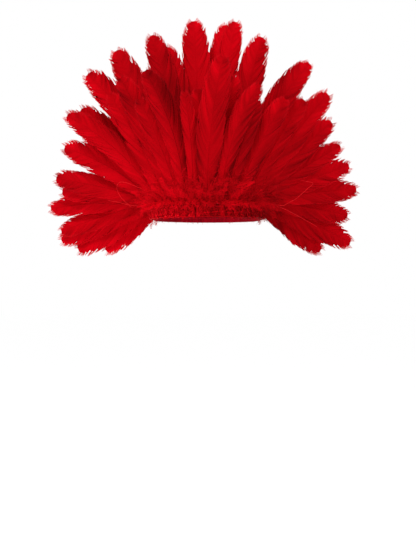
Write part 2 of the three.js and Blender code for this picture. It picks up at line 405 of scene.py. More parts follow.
# The strands' edge value, which makes them pale with painted light
FILAMENT_PALE = 6
FILAMENTS = (
    (14, ((-73, -30, 24), (-77, -34, 38), (-95, -38, 45), (-114, -38, 53), (-125, -38, 55),
          (-129, -38, 51), (-129, -38, 42), (-122.5, -36, 31), (-108, -34, 18))),
    (12, ((-83, 0, 20), (-115, 8, 23), (-129.5, 10, 27.5), (-144, 12, 29.7))),
    (34, ((96, -14, 24), (110, -14, 20), (118, -13, 26), (129, -12, 31), (145, -10, 46), (156, -8, 54),
          (146, -9, 56.5), (135, -10, 57.5), (115, -13, 57), (100, -16, 53))),
    (38, ((100, 8, 22), (114, 10, 17), (135, 12, 6), (160, 14, -8))),
)


def ring_point(turn, outside, z):
    """Points at turns (degrees) round the ring, this far outside the head opening, in mm."""
    a = np.radians(turn)
    x = (HEAD_A + outside) * np.sin(a)
    y = -(HEAD_B + outside) * np.cos(a)
    return np.stack(np.broadcast_arrays(x, y, z), -1).astype(float)


def unit(v):
    return v / np.maximum(np.linalg.norm(v, axis=-1, keepdims=True), 1e-9)


def make_mesh(name, parts):
    """One mesh object from (vertices in mm, faces, tone, edge) parts; faces have 3 or 4 corners."""
    verts, loops, sizes, tones, edges = [], [], [], [], []
    count = 0
    for points, faces, tone, edge in parts:
        points = np.asarray(points, float).reshape(-1, 3)
        faces = np.asarray(faces, np.int64)
        verts.append(points * MM)
        loops.append((faces + count).ravel())
        sizes.append(np.full(len(faces), faces.shape[1]))
        tones.append(np.broadcast_to(np.asarray(tone, float).ravel(), len(points)))
        edges.append(np.broadcast_to(np.asarray(edge, float).ravel(), len(points)))
        count += len(points)
    verts = np.concatenate(verts)
    loops = np.concatenate(loops)
    sizes = np.concatenate(sizes)
    mesh = bpy.data.meshes.new(name)
    mesh.vertices.add(len(verts))
    mesh.vertices.foreach_set("co", verts.astype(np.float32).ravel())
    mesh.loops.add(len(loops))
    mesh.loops.foreach_set("vertex_index", loops.astype(np.int32))
    mesh.polygons.add(len(sizes))
    starts = np.concatenate([[0], np.cumsum(sizes)[:-1]])
    mesh.polygons.foreach_set("loop_start", starts.astype(np.int32))
    mesh.polygons.foreach_set("loop_total", sizes.astype(np.int32))
    mesh.polygons.foreach_set("use_smooth", np.ones(len(sizes), bool))
    mesh.update(calc_edges=True)
    for label, values in (("tone", tones), ("edge", edges)):
        attribute = mesh.attributes.new(label, "FLOAT", "POINT")
        attribute.data.foreach_set("value", np.concatenate(values).astype(np.float32))
    obj = bpy.data.objects.new(name, mesh)
    bpy.context.scene.collection.objects.link(obj)
    return obj


def strips(points, half):
    """Ribbons: points (n, m, 3) with half width vectors of the same shape; returns vertices and quads."""
    n, m = points.shape[:2]
    verts = np.stack([points - half, points + half], 2).reshape(-1, 3)
    base = (np.arange(n)[:, None] * m + np.arange(m - 1)[None, :]) * 2
    quads = np.stack([base, base + 1, base + 3, base + 2], -1).reshape(-1, 4)
    return verts, quads


def tube(path, radius, sides=TUBE_SIDES):
    """A round tube along path (n, 3), its ends closed with a point; returns vertices and triangles."""
    path = np.asarray(path, float)
    n = len(path)
    radius = np.broadcast_to(radius, n)
    along = unit(np.gradient(path, axis=0))
    guide = np.array([0.0, 0.0, 1.0]) if abs(along[:, 2]).mean() < 0.8 else np.array([0.0, 1.0, 0.0])
    across = unit(np.cross(along, guide))
    other = np.cross(along, across)
    a = np.arange(sides) * 2 * np.pi / sides
    circle = np.cos(a)[None, :, None] * across[:, None] + np.sin(a)[None, :, None] * other[:, None]
    verts = (path[:, None] + circle * radius[:, None, None]).reshape(-1, 3)
    i = np.arange(n - 1)[:, None] * sides
    k = np.arange(sides)
    following = (k + 1) % sides
    quads = np.stack([i + k, i + following, i + sides + following, i + sides + k], -1).reshape(-1, 4)
    tris = np.concatenate([quads[:, [0, 1, 2]], quads[:, [0, 2, 3]]])
    verts = np.concatenate([verts, path[:1], path[-1:]])
    end = (n - 1) * sides
    first = np.stack([np.full(sides, n * sides), following, k], -1)
    last = np.stack([np.full(sides, n * sides + 1), end + k, end + following], -1)
    return verts, np.concatenate([tris, first, last])


class Line:
    """The centreline of one feather, by distance from the top of the tape, with its own directions."""

    def __init__(self, row):
        a = math.radians(row["turn"])
        reach = abs(math.sin(a)) if abs(row["turn"]) <= 90 else max(abs(math.sin(a)), LEAST_SWEEP)
        sweep = np.sign(row["turn"]) * math.radians(SIDE_SWEEP * reach)
        tilt = math.radians((BACK_LEAN + FRONT_LEAN) * abs(row["turn"] / 180) - BACK_LEAN + row["lean"])
        self.right = np.array([math.cos(sweep), math.sin(sweep), 0])
        self.up = np.array([
            -math.sin(sweep) * math.sin(tilt), math.cos(sweep) * math.sin(tilt), math.cos(tilt)])
        self.face = np.cross(self.right, self.up)
        reach = FEATHER_LENGTH * row["length"]
        start = ring_point(row["turn"], QUILL_OUT, TAPE_TOP + QUILL_RISE)

        def toward(fan):
            f = math.radians(fan)
            return self.right * math.sin(f) + self.up * math.cos(f)

        tip = start + toward(row["fan"]) * reach
        end = toward(row["fan"] + np.sign(row["fan"]) * (OUTWARD_CURL + row["curl"]))
        p = [start, start + [0, 0, QUILL_BEND], tip - end * reach * TIP_HANDLE, tip]
        t = np.linspace(0, 1, CURVE_POINTS)[:, None]
        rest = 1 - t
        curve = rest ** 3 * p[0] + 3 * rest ** 2 * t * p[1] + 3 * rest * t ** 2 * p[2] + t ** 3 * p[3]
        s = np.concatenate([[0], np.cumsum(np.linalg.norm(np.diff(curve, axis=0), axis=1))])
        bow = OUTWARD_BOW * math.cos(a)
        curve = curve + self.face * (bow * s ** 2 / FEATHER_LENGTH)[:, None]
        self.s = s
        self.total = s[-1]
        self.curve = curve
        self.along = unit(np.gradient(curve, axis=0))
        out = self.face - self.along * (self.along @ self.face)[:, None]
        self.out = unit(out)
        self.side = unit(np.cross(self.out, self.along))
        self.bottom = ring_point(row["turn"], QUILL_OUT, TAPE_LOW)
        self.start = start

    def at(self, a):
        """Centre, side, out and along at distances a of any shape; past the tip it runs on straight."""
        flat = np.clip(np.ravel(a), 0, self.total)

        def pick(table):
            columns = [np.interp(flat, self.s, table[:, k]) for k in range(3)]
            return np.stack(columns, -1).reshape(*np.shape(a), 3)

        along = unit(pick(self.along))
        centre = pick(self.curve) + along * (np.asarray(a) - np.clip(a, 0, self.total))[..., None]
        return centre, unit(pick(self.side)), unit(pick(self.out)), along


def wander(rng, n, size_and_step):
    """Smooth random numbers of this size, one per item, that change over about step items."""
    size, step = size_and_step
    knots = rng.normal(size=int(n / step) + 4)
    return size * np.interp(np.arange(n) / step, np.arange(len(knots)), knots)


def frayed_hairs(points, tone, near_tip, close, directions, sign, fray, rng):
    """One round of frayed ends: a single hair that runs on from every barb."""
    side, out, along = directions
    q = np.array(BARB_AT)
    n, m = points.shape[:2]
    u = rng.uniform(*HAIR_FROM, n)
    step = np.clip(np.searchsorted(q, u) - 1, 0, m - 2)
    share = ((u - q[step]) / (q[step + 1] - q[step]))[:, None]
    barb = np.arange(n)
    place = points[barb, step] * (1 - share) + points[barb, step + 1] * share
    forward_way = unit(points[:, -1] - points[:, -4])
    outward = side[:, -1] * sign
    way = unit(forward_way + along[:, -1] * (2 * close[:, None])
               + outward * (0.04 + HAIR_SCATTER * rng.normal(size=n))[:, None]
               + out[:, -1] * rng.normal(0, HAIR_SCATTER, n)[:, None])
    length = rng.uniform(*HAIR_LENGTH, n) * fray * (1 + 0.3 * close)
    t = np.array([0, 1.0])[None, :, None]
    hair = place[:, None] + way[:, None] * t * length[:, None, None]
    across = unit(np.cross(way, out[:, -1]))[:, None] * (HAIR_WIDTH / 2) * (1 - HAIR_TAPER * t)
    verts, faces = strips(hair, across)
    # painted light: the frayed hairs lighter than their barbs, more so on ragged feathers and near the tip
    hair_tone = np.repeat(tone[:, -1] + 0.15 * fray + 0.05 * near_tip, 4)
    hair_edge = np.repeat((0.3 + 0.5 * near_tip) * fray, 4) * np.tile(HAIR_EDGE, n)
    return verts, faces, hair_tone, hair_edge


def loose_barbs(points, tone, directions, rng):
    """Loose barbs that lie a little above the sheet."""
    side, out, along = directions
    q = np.array(BARB_AT)
    chosen = rng.choice(len(points) - 4, LOOSE_BARBS, replace=False) + 2
    rise = rng.uniform(*LOOSE_RISE, (LOOSE_BARBS, 1, 1)) * q[None, :, None] ** 1.5
    strand = points[chosen] + out[chosen] * (LOOSE_GAP + rise)
    slide = rng.normal(0, LOOSE_SLIDE, (LOOSE_BARBS, 1, 1))
    strand = strand + along[chosen] * slide * q[None, :, None] ** 2
    direction = unit(np.gradient(strand, axis=1))
    across = unit(np.cross(direction, out[chosen])) * (LOOSE_HALF * (1 - 0.8 * q))[None, :, None]
    verts, faces = strips(strand, across)
    edge = np.repeat(np.tile(LOOSE_EDGE * q, LOOSE_BARBS), 2)
    return verts, faces, np.repeat(tone[chosen] + LOOSE_TONE, 2), edge


def vane(line, row, rng):
    """Both halves of the vane: barbs that cling together in one sheet and end in small frayed points."""
    width = FEATHER_WIDTH * row["width"]
    half = width / 2
    parts = []
    q = np.array(BARB_AT)
    wave_length = rng.uniform(*WAVE_LENGTH)
    wave_phase = rng.uniform(*WAVE_PHASE)
    wave_size = rng.uniform(*WAVE_SIZE)
    fray = BACK_FRAY if abs(row["turn"]) < BACK_TURN else OTHER_FRAY
    for sign, fold in ((1, row["left"]), (-1, row["right"])):
        root = np.arange(VANE_START, line.total - VANE_END, BARB_STEP)
        n = len(root)
        forward = np.minimum(BARB_FORWARD * half, (line.total - root) * TIP_FORWARD)
        forward = np.minimum(forward, ROOT_FORWARD + FORWARD_GROWTH * np.maximum(root, 0))
        forward = forward * (1 + wander(rng, n, FORWARD_WANDER))
        end = root + forward
        reach = half * np.minimum(
            np.interp(end, ROOT_AT, ROOT_SHARE), np.interp((line.total - end) / width, TIP_AT, TIP_SHARE))
        reach = reach * (1 + wander(rng, n, REACH_WANDER))
        near_tip = np.clip(1 - (line.total - end) / (TIP_ZONE * width), 0, 1)
        close = np.clip(1 - (line.total - root) / (END_ZONE * width), 0, 1)
        downy = np.clip(1 - root / DOWNY_ZONE, 0, 1)
        # groups of barbs that cling together and end in one point
        sizes = rng.integers(*CLUMP, n)
        group = np.repeat(np.arange(n), sizes)[:n]
        centre = np.bincount(group, end) / np.maximum(np.bincount(group), 1)
        gather = (centre[group] - end) * rng.uniform(*GATHER, n)[group] * (1 - 0.5 * near_tip)
        ragged = 1 + TIP_SPREAD * fray * near_tip * (1 - close)
        longer = BARB_LENGTH + rng.normal(0, CLUMP_SPREAD, n)[group] * ragged + rng.normal(0, BARB_SPREAD, n)
        lift = rng.normal(0, CLUMP_LIFT, n)[group] * (1 + DOWNY_LIFT * downy)
        free = rng.uniform(*FREE_FROM, n)[group] - DOWNY_FREE * downy
        free = free - TIP_FREE * fray * near_tip
        cut = np.ones(n)
        cut[:-1] = np.where(group[1:] != group[:-1], free[:-1], 1.0)
        # a few splits where the sheet has come apart
        slide = np.zeros(n)
        for _ in range(rng.integers(*SPLITS)):
            spot = int(rng.uniform(*SPLIT_AT) * n)
            size = rng.uniform(*SPLIT_SIZE)
            d = np.arange(n) - spot - 0.5
            push = np.where(d > 0, 1, SPLIT_BELOW) * size
            slide += push * np.exp(-np.abs(d) * BARB_STEP / rng.uniform(*SPLIT_FADE))
            cut[spot] = rng.uniform(*SPLIT_DEPTH)
        a = root[:, None] + forward[:, None] * q + slide[:, None] * q ** 3 + gather[:, None] * q ** 7
        a = a + (downy * rng.normal(0, DOWNY_SCATTER, n)[group])[:, None] * q ** 2
        profile = STRAIGHT * q + (1 - STRAIGHT) * (1 - (1 - q) ** BARB_CURVE)
        x = (reach * longer)[:, None] * profile
        c, side, out, along = line.at(a)
        # out of its plane: folded at the shaft, hollow, waved and rippled
        bend = math.tan(math.radians(fold))
        z = -x * bend - VANE_HOLLOW * x ** 2 / half
        z = z + wave_size * (x / half) ** 1.5 * np.sin(FULL_CIRCLE * a / wave_length + wave_phase + sign)
        ripple = wander(rng, n, RIPPLE_BROAD) + wander(rng, n, RIPPLE_FINE)
        ripple = ripple + RIPPLE_GRAIN * rng.normal(size=n)
        flat = np.minimum(1, reach / (FLAT_WIDTH * half)) ** 2
        z = z + (flat * ripple)[:, None] * np.sqrt(q) + (flat * lift)[:, None] * q ** 3 + VANE_RISE
        points = c + side * (sign * x)[..., None] + out * z[..., None]
        streak = wander(rng, n, STREAK_FINE) + wander(rng, n, STREAK_BROAD)
        streak = streak + STREAK_GRAIN * rng.normal(size=n)
        # painted shade: the vane darker towards its lower part
        low = np.clip(LOW_SHADE_FROM - a / line.total, 0, LOW_SHADE_MOST)
        # painted light: the left half lighter than the right half
        tone = VANE_TONE + row["tone"] + LIT_TONE * row["lit"] * sign * np.minimum(3 * q, 1)
        tone = tone + streak[:, None] * np.sqrt(q) - LOW_SHADE_TONE * row["low_shade"] * low
        tone = tone + TIP_TONE * near_tip[:, None] * q
        # painted shade between the lower vanes: the outer part of each barb darker, the inner part lighter
        painted_fold_shade = np.interp(row["turn"], FOLD_SHADE_TURN, FOLD_SHADE_TONE) * np.clip(FOLD_SHADE_FROM - a / FOLD_SHADE_HEIGHT, 0, 1)
        tone = tone - painted_fold_shade * (q - FOLD_SHADE_MIDDLE)
        # edge marks the thin outer barbs, for real translucency and for painted light that makes them paler
        edge = np.clip((q - EDGE_FROM) / EDGE_WIDTH, 0, 1) * (SIDE_EDGE + TIP_EDGE * near_tip[:, None])
        m = len(q)
        i = np.arange(n - 1)[:, None] * m
        k = np.arange(m - 1)[None, :]
        quads = np.stack([i + k, i + k + 1, i + m + k + 1, i + m + k], -1)
        if sign < 0:
            quads = quads[..., ::-1]
        keep = q[None, 1:] <= cut[:-1, None] + 1e-6
        parts.append((points.reshape(-1, 3), quads[keep], tone, edge))
        directions = (side, out, along)
        for _ in range(HAIRS):
            parts.append(frayed_hairs(points, tone, near_tip, close, directions, sign, fray, rng))
        parts.append(loose_barbs(points, tone, directions, rng))
    return parts


def shaft(line, row):
    """The shaft on the face of the vane and the bare quill below it, down into the pocket."""
    s = np.linspace(0, line.total * SHAFT_END, SHAFT_POINTS)
    c, side, out, along = line.at(s)
    radius = SHAFT_RADIUS - SHAFT_TAPER * (s / line.total) ** 0.7
    path = np.concatenate([[line.bottom], c + out * SHAFT_RISE])
    radius = np.concatenate([[QUILL_RADIUS], radius])
    verts, faces = tube(path, radius)
    # painted shade: the shaft darker towards its root, as the lower vane
    tone = SHAFT_TONE + row["tone"] - SHAFT_LOW_SHADE * row["low_shade"] * np.linspace(0.6, 0, len(path))
    tone = np.concatenate([np.repeat(tone, TUBE_SIDES), tone[:1], tone[-1:]])
    return verts, faces, tone, np.zeros(len(verts))


def filament(points):
    """A long loose barb that has come away from its feather and hangs in a curve."""
    points = np.array(points, float)
    spread = np.concatenate([[0], np.cumsum(np.linalg.norm(np.diff(points, axis=0), axis=1))])
    t = np.linspace(0, spread[-1], FILAMENT_STEPS * len(points))
    path = np.stack([np.interp(t, spread, points[:, k]) for k in range(3)], -1)
    for _ in range(FILAMENT_PASSES):
        path[1:-1] = 0.5 * path[1:-1] + 0.25 * (path[:-2] + path[2:])
    verts, faces = tube(path, np.linspace(*FILAMENT_RADIUS, len(path)), FILAMENT_SIDES)
    return verts, faces, np.full(len(verts), FILAMENT_TONE), np.full(len(verts), FILAMENT_PALE)


def fuzz(points, rng, width, hair_length, count, tone, edge):
    """Curly threads, points (n, m, 3), each with short side hairs; returns parts."""
    n, m = points.shape[:2]
    q = np.linspace(0, 1, m)
    direction = unit(np.gradient(points, axis=1))
    across = unit(np.cross(direction, rng.normal(size=(n, 1, 3))))
    verts, quads = strips(points, across * (width / 2 * (1 - 0.7 * q))[None, :, None])
    parts = [(verts, quads, np.repeat(tone, m * 2), np.tile(np.repeat(q * edge, 2), n))]
    u = np.linspace(*BARBULE_AT, count) * (m - 1)
    low = np.floor(u).astype(int).clip(0, m - 2)
    share = (u - low)[None, :, None]
    place = points[:, low] * (1 - share) + points[:, low + 1] * share
    ways = direction[:, low]
    wing = across[:, low]
    for sign in (-1, 1):
        hair = rng.uniform(*hair_length, (n, count, 1))
        scatter = BARBULE_SCATTER * rng.normal(size=place.shape)
        end = place + unit(wing * sign + ways * BARBULE_FORWARD + scatter) * hair
        corners = [place - ways * BARBULE_HALF, place + ways * BARBULE_HALF, end]
        triangles = np.stack(corners, 2).reshape(-1, 3)
        faces = np.arange(n * count * 3).reshape(-1, 3)
        hair_edge = np.tile([0.3 * edge, 0.3 * edge, edge], n * count)
        parts.append((triangles, faces, np.repeat(tone, count * 3), hair_edge))
    return parts


def fluff_light_and_shade(row):
    """Painted light and shade on the fluff at this turn: how much lighter or darker it is."""
    return np.interp(row["turn"], FLUFF_SHADE_TURN, FLUFF_SHADE_TONE)


def down(line, row, rng):
    """Loose downy barbs round the root."""
    at_side = abs(row["turn"]) > SIDE_TURN
    n = DOWN_BARBS + (SIDE_DOWN if at_side else 0)
    q = np.linspace(0, 1, DOWN_POINTS)
    root = rng.uniform(0, 1, n) ** (SIDE_DOWN_POWER if at_side else DOWN_POWER) * DOWN_REACH
    c, side, out, along = line.at(root)
    turn = rng.uniform(0, FULL_CIRCLE, n)
    flat = np.cos(turn)[:, None] * side + 0.6 * np.sin(turn)[:, None] * out
    length = rng.uniform(*DOWN_LENGTH, n) * (0.75 + 0.35 * root / DOWN_REACH)
    rise = rng.uniform(*DOWN_RISE, n)
    curl = rng.normal(0, DOWN_CURL, (n, 3))
    step = q[None, :, None]
    points = c[:, None] + length[:, None, None] * (
        flat[:, None] * (step - 0.35 * step ** 2) + along[:, None] * rise[:, None, None] * step ** 1.5
        + curl[:, None] * step ** 2)
    tone = FLUFF_MIDDLE + fluff_light_and_shade(row) + FLUFF_ROW_TONE * row["tone"] + FLUFF_SPREAD * rng.normal(size=n)
    return fuzz(points, rng, DOWN_WIDTH, DOWN_BARBULE, DOWN_BARBULES, tone, DOWN_EDGE)


def nest(line, row, rng):
    """Short curly down just above the tape that fills the space to the neighbouring quills."""
    turn = math.radians(row["turn"])
    round_ring = np.array([math.cos(turn), math.sin(turn), 0.0])
    n = NEST_BARBS
    sign = np.where(np.arange(n) % 2, 1.0, -1.0)[:, None, None]
    height = NEST_HEIGHT * rng.uniform(0, 1, n) ** 1.7 - NEST_START
    c, side, out, along = line.at(height)
    reach = rng.uniform(*NEST_REACH, (n, 1, 1))
    rise = rng.uniform(*NEST_RISE, (n, 1, 1))
    curl = rng.normal(0, NEST_CURL, (n, 1, 3))
    t = np.linspace(0, 1, NEST_POINTS)[None, :, None]
    points = c[:, None] + reach * (
        round_ring * sign * (t - 0.2 * t ** 2) + along[:, None] * rise * t ** 1.5 + curl * t ** 2)
    tone = NEST_TONE + fluff_light_and_shade(row) + FLUFF_ROW_TONE * row["tone"] + FLUFF_SPREAD * rng.normal(size=n)
    return fuzz(points, rng, NEST_WIDTH, DOWN_BARBULE, NEST_BARBULES, tone, NEST_EDGE)


def afterfeathers(line, row, rng):
    """Small fluffy plumes at the root, which make the soft lumps over the tape."""
    parts = []
    turn = abs(row["turn"])
    step = np.linspace(0, 1, PLUME_POINTS)
    first = DROOP_RIGHT if row["turn"] > 0 else DROOP_LEFT
    droop = np.interp(turn, (first, first + DROOP_BLEND, *DROOP_END), (0, 1, 1, 0))
    outward = unit(np.array([line.start[0], line.start[1], 0.0]))
    standing = AFTERFEATHERS + round(DROOP_MORE * droop) + (FRONT_FLUFF if turn > FRONT_TURN else 0)
    for k in range(standing + SKIRT):
        root = rng.uniform(*STANDING_ROOT) if k < standing else rng.uniform(*SKIRT_ROOT)
        c, side, out, along = [v[0] for v in line.at(np.array([root]))]
        if turn > 90 and k % 2:
            out = -out
        if k < standing:
            lean = rng.normal(0, 0.5)
            length = rng.uniform(*STANDING_LENGTH) * (1 - 0.3 * droop)
            way = unit(along + side * lean + outward * rng.uniform(*STANDING_OUTWARD)
                       - [0, 0, droop * rng.uniform(*DROOP_FALL)])
            sag = side * rng.normal(0, 0.5) - outward * rng.uniform(0.0, 0.3)
        else:
            length = rng.uniform(*SKIRT_LENGTH)
            way = unit(outward * 0.75 + [0, 0, 0.45] + side * rng.normal(0, 0.5))
            sag = side * rng.normal(0, 0.4) - [0, 0, rng.uniform(*SKIRT_FALL)]
        spine = c + out * PLUME_RISE + (way * step[:, None] + sag * step[:, None] ** 2) * length
        ways = unit(np.gradient(spine, axis=0))
        wings = unit(np.cross(ways, out + 0.3 * rng.normal(size=3)))
        count = int(length * PLUME_BARBS)
        u = np.linspace(0.05, 1, count)
        at, aim, wing = [
            np.stack([np.interp(u, step, table[:, axis]) for axis in range(3)], -1)
            for table in (spine, ways, wings)]
        size = rng.uniform(*PLUME_BARB) * np.sin(np.pi * (0.16 + 0.76 * u)) ** 0.7
        t = np.linspace(0, 1, PLUME_BARB_POINTS)[None, :, None]
        # painted light: drooping plumes at the sides are made lighter
        shade = FLUFF_MIDDLE + fluff_light_and_shade(row) + FLUFF_ROW_TONE * row["tone"] + 0.1 * droop + 0.1 * rng.normal()
        for sign in (-1, 1):
            long = (size * rng.uniform(0.5, 1.5, count))[:, None, None]
            bow = out * rng.uniform(-0.1, 0.5) + rng.normal(0, 0.7, (count, 1, 3))
            barb = at[:, None] + long * (
                wing[:, None] * sign * (t - 0.35 * t ** 2) + aim[:, None] * (0.7 * t + 0.5 * t ** 2)
                + bow * (t - 0.6 * t ** 2))
            direction = unit(np.gradient(barb, axis=1))
            across = unit(np.cross(direction, out[None, None] + 0.2 * rng.normal(size=(count, 1, 3))))
            verts, faces = strips(barb, across * (PLUME_BARB_HALF * (1 - 0.7 * t)))
            tone = np.repeat(shade + 0.05 * rng.normal(size=count), 2 * PLUME_BARB_POINTS)
            parts.append((verts, faces, tone, np.tile(np.repeat(0.4 * t[0, :, 0], 2), count)))
    return parts


def tape_tone_and_shade(turn):
    """Tone added to the tape at this turn: darker all round, with painted shade that darkens the right side
    more than the left.
    """
    return TAPE_DARKER - TAPE_RIGHT_SHADE * np.sin(np.radians(turn))


def tape_thread(turns, depth, height, radius, shade, sides=TUBE_SIDES):
    """One thread on the tape, at these turns, depths and shares of the tape's height."""
    path = ring_point(turns, POCKET_OUT + depth, TAPE_LOW + TAPE_HEIGHT * np.asarray(height))
    verts, faces = tube(path, radius, sides)
    shade = shade + tape_tone_and_shade(np.mean(turns))
    return verts, faces, np.full(len(verts), shade), np.zeros(len(verts))


def tape_cloth(rng):
    """The tape's cloth, gathered over every quill, with both ends closed at the slit."""
    columns = len(FEATHERS) * TAPE_COLUMNS
    half_slit = math.degrees(TAPE_SLIT / 2 / HEAD_A)
    turn = np.linspace(TAPE_SLIT_TURN + half_slit, TAPE_SLIT_TURN + 360 - half_slit, columns + 1)
    place = turn / QUILL_STEP
    index = np.round(place).astype(int) % PUFF_TABLE
    lean = rng.normal(0, 0.2, PUFF_TABLE)[index]
    size = 1 + rng.normal(0, 0.14, PUFF_TABLE)[index]
    shade = rng.normal(0, 0.08, PUFF_TABLE)[index]
    v = np.linspace(0, 1, TAPE_ROWS)
    body = np.sin(np.pi * np.clip(v * 0.94 + 0.03, 0, 1)) ** 0.45
    skewed = 0.5 + 0.5 * np.cos(2 * np.pi * (place[:, None] + lean[:, None] * (v[None, :] - 0.5)))
    puff = TAPE_PUFF * size[:, None] * skewed ** 1.2 * body[None, :]
    creases = 0.2 * np.sin(2 * np.pi * (place[:, None] * 3 + 2.2 * v[None, :])) * body[None, :]
    creases = creases + 0.16 * np.sin(2 * np.pi * (place[:, None] * 5.3 - 3.1 * v[None, :] + 0.3))
    roll = 0.55 * np.exp(-((v - 0.06) / 0.06) ** 2) + 0.35 * np.exp(-((v - 0.94) / 0.06) ** 2)
    outer = POCKET_OUT + TAPE_THICKNESS * 0.6 + puff + creases + roll[None, :]
    z = TAPE_LOW + TAPE_HEIGHT * v
    front = ring_point(turn[:, None], outer, z[None, :])
    back = ring_point(turn[:, None], POCKET_OUT + 0.05, z[None, ::-1])
    loop = np.concatenate([front, back], 1)
    n, m = loop.shape[:2]
    i = np.arange(n - 1)[:, None] * m
    k = np.arange(m)[None, :]
    quads = np.stack([i + k, i + m + k, i + m + (k + 1) % m, i + (k + 1) % m], -1).reshape(-1, 4)
    # painted light and shade: lighter on the puffs, darker in the creases and in the valleys between the
    # puffs
    tone_front = TAPE_TONE + 0.35 * (puff / TAPE_PUFF - 0.3) + shade[:, None] + 0.5 * creases
    tone_front = tone_front + tape_tone_and_shade(turn)[:, None]
    tone = np.concatenate([tone_front, np.full((n, m - TAPE_ROWS), TAPE_INSIDE_TONE)], 1)
    ends = []
    for base in (0, (n - 1) * m):
        for low in range(TAPE_ROWS - 1):
            ends.append([base + low, base + low + 1, base + m - 2 - low, base + m - 1 - low])
    points = loop.reshape(-1, 3)
    no_edge = np.zeros(n * m)
    return [
        (points, quads, tone, no_edge),
        (points, np.array(ends), np.full(n * m, TAPE_INSIDE_TONE), no_edge)]


def quill_binding(middle, rng):
    """Loop, wraps, knots and stitches of thread over the quill at this turn; returns parts."""
    parts = []
    near_slit = abs(middle + HALF_STEP - TAPE_SLIT_TURN) < 1
    # a loop of thread round the puff over the quill, open or drawn tight
    t = np.linspace(0, 2 * np.pi, 25)
    wide = rng.uniform(1.3, 2.9)
    tall = rng.uniform(0.28, 0.42)
    tip = rng.normal(0, 0.5)
    centre = middle + rng.normal(0, 0.4)
    puffed = 0.5 + 0.5 * np.cos(np.sin(t) * wide / HALF_STEP * np.pi)
    depth = TAPE_THICKNESS + 0.35 + 0.8 * TAPE_PUFF * puffed
    parts.append(tape_thread(centre + wide * np.sin(t) + tip * np.cos(t), depth, 0.5 + tall * np.cos(t),
                             rng.uniform(0.45, 0.7), rng.uniform(0.5, 0.85)))
    # one or two slanted wraps
    for _ in range(rng.integers(1, 3)):
        t = np.linspace(-1, 1, 11)
        slant = rng.uniform(-0.3, 0.3)
        level = rng.uniform(0.25, 0.75)
        reach = rng.uniform(1.8, 3.2)
        bulge = TAPE_PUFF * 0.95 * np.sqrt(np.clip(1 - (t * reach / HALF_STEP) ** 2, 0, 1))
        parts.append(tape_thread(middle + reach * t, TAPE_THICKNESS + bulge + 0.1, level + slant * t,
                                 rng.uniform(0.5, 0.85), rng.uniform(0.4, 0.9)))
    # knots
    for _ in range(rng.integers(2, 5)):
        t = np.linspace(-1, 1, 6)
        aim = rng.uniform(0, np.pi)
        level = rng.uniform(0.12, 0.9)
        off = rng.normal(0, 1.7)
        puffed = TAPE_PUFF * max(math.cos(off / HALF_STEP * math.pi / 2), 0) * 0.9
        radius = rng.uniform(0.7, 1.2) * np.sqrt(np.clip(1.04 - t ** 2, 0.04, 1))
        turns = middle + off + 0.9 * t * math.cos(aim)
        parts.append(tape_thread(turns, TAPE_THICKNESS + puffed + 0.2, level + 0.08 * t * math.sin(aim),
                                 radius, rng.choice([0.25, 0.55, 0.8, 1.0]), 7))
    # stitches in the valley to the next quill
    if not near_slit:
        for low, high, shift in ((0.12, 0.5, 1.4), (0.52, 0.92, -1.4)):
            t = np.linspace(0, 1, 7)
            turns = middle + HALF_STEP + shift * (t - 0.5) * rng.uniform(0.6, 1.5)
            depth = TAPE_THICKNESS * 0.6 + 0.3 + 0.5 * np.sin(np.pi * t)
            parts.append(tape_thread(turns, depth, low + (high - low) * t, 0.32, rng.uniform(0.35, 0.8), 5))
    return parts


def edge_thread():
    """The thread that runs along the lower edge of the tape, in short waves; returns parts."""
    parts = []
    for first in range(0, len(FEATHERS), 6):
        t = np.linspace(0, 6, 61)
        turns = TAPE_SLIT_TURN + 1.2 + (first + t) * (QUILL_STEP - 0.05)
        depth = TAPE_THICKNESS + 0.7 + 0.35 * np.sin(FULL_CIRCLE * t + first) + 0.3 * np.sin(9.1 * t)
        parts.append(tape_thread(turns, depth, 0.06 + 0.025 * np.sin(5.1 * t + first), 0.5, 0.62))
    return parts


def tufts(rng):
    """Tufts that poke out under the lower edge of the tape; returns parts."""
    parts = []
    seen = np.degrees(np.arcsin((np.array(TUFT_PIXELS) - TUFT_MIDDLE_PIXEL) / TUFT_HALF_PIXELS))
    for turn in np.concatenate([seen, rng.uniform(*HIDDEN_TUFT_TURNS, HIDDEN_TUFTS)]):
        count = rng.integers(3, 6)
        t = np.linspace(0, 1, 5)
        turns = turn + rng.uniform(-0.8, 0.8, count)
        begin = ring_point(turns, POCKET_OUT + TAPE_THICKNESS, TAPE_LOW + 2.5)
        sideways = [rng.normal(0, 0.9, count), rng.normal(0, 0.9, count)]
        drop = np.stack([*sideways, -rng.uniform(3.8, 6.2, count)], -1)
        points = begin[:, None] + drop[:, None] * t[None, :, None]
        outward = unit(begin * [1, 1, 0])
        points = points + outward[:, None] * (0.8 * np.sin(2.2 * t))[None, :, None]
        across = unit(np.cross(drop, outward))[:, None] * (0.55 * (1 - 0.9 * t))[None, :, None]
        verts, quads = strips(points, across)
        parts.append((verts, quads, np.full(len(verts), 0.5), np.zeros(len(verts))))
    return parts


